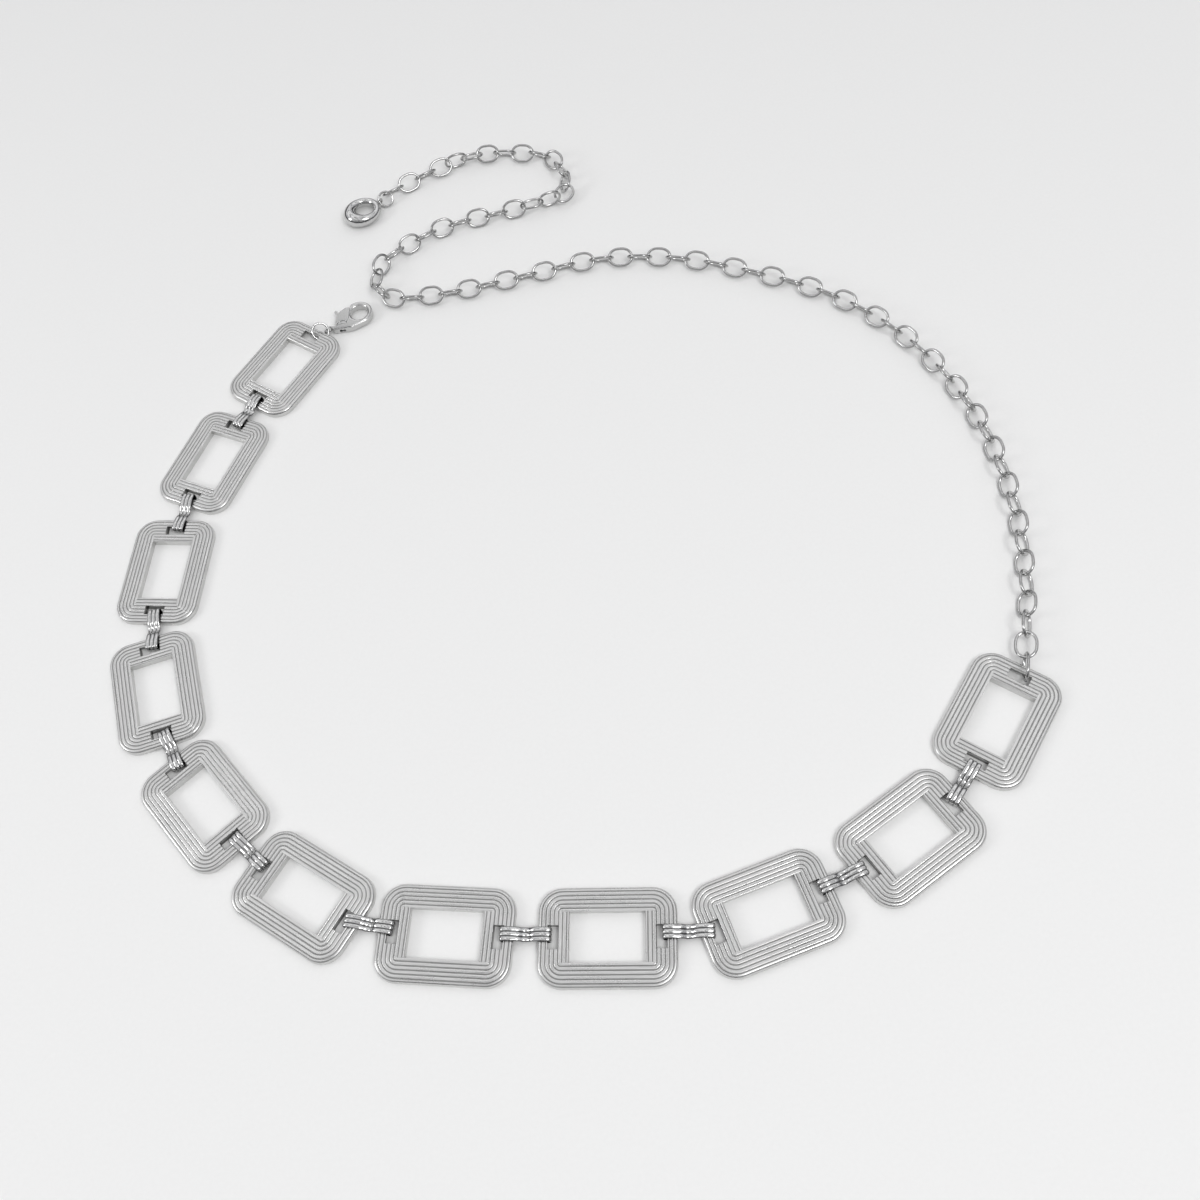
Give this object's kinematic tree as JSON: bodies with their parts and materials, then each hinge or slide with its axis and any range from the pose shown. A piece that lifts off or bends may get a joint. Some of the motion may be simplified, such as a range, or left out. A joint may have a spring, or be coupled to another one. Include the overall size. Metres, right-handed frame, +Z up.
{
  "type": "waist chain",
  "caption": "Metal waist chain of grooved rectangular window plates joined by ribbed hook links, with a lobster clasp at one end and a cable chain with a drop charm at the other.",
  "frame": {"origin": "middle of the laid-out belt's box, on the surface that it lies on", "axes": "+Z up from the surface, +Y away from the viewer of the picture, +X to the right"},
  "size_m": [0.3042, 0.3376, 0.0072],
  "materials": {
    "satin_plate": "satin silver plating over cast alloy",
    "polished_link": "polished silver plating"
  },
  "bodies": {
    "belt": {"plate_01": "satin_plate", "plate_02": "satin_plate", "plate_03": "satin_plate", "plate_04": "satin_plate", "plate_05": "satin_plate", "plate_06": "satin_plate", "plate_07": "satin_plate", "plate_08": "satin_plate", "plate_09": "satin_plate", "plate_10": "satin_plate", "plate_11": "satin_plate", "hook_link_01": "polished_link", "hook_link_02": "polished_link", "hook_link_03": "polished_link", "hook_link_04": "polished_link", "hook_link_05": "polished_link", "hook_link_06": "polished_link", "hook_link_07": "polished_link", "hook_link_08": "polished_link", "hook_link_09": "polished_link", "hook_link_10": "polished_link", "jump_ring": "polished_link", "clasp_body": "polished_link", "cable_chain_front": "polished_link", "cable_chain_back": "polished_link", "end_ring": "polished_link", "drop_charm": "polished_link"},
    "lever": {"clasp_lever": "polished_link"}
  },
  "joints": [
    {"name": "lever_hinge", "type": "hinge", "parent": "belt", "child": "lever", "pos_m": [-0.06332, 0.09232, 0.00153], "axis": [0, 0, 1], "range_deg": [0, 22], "stiffness_Nm_per_rad": 0.002, "springref_deg": -17.19}
  ]
}
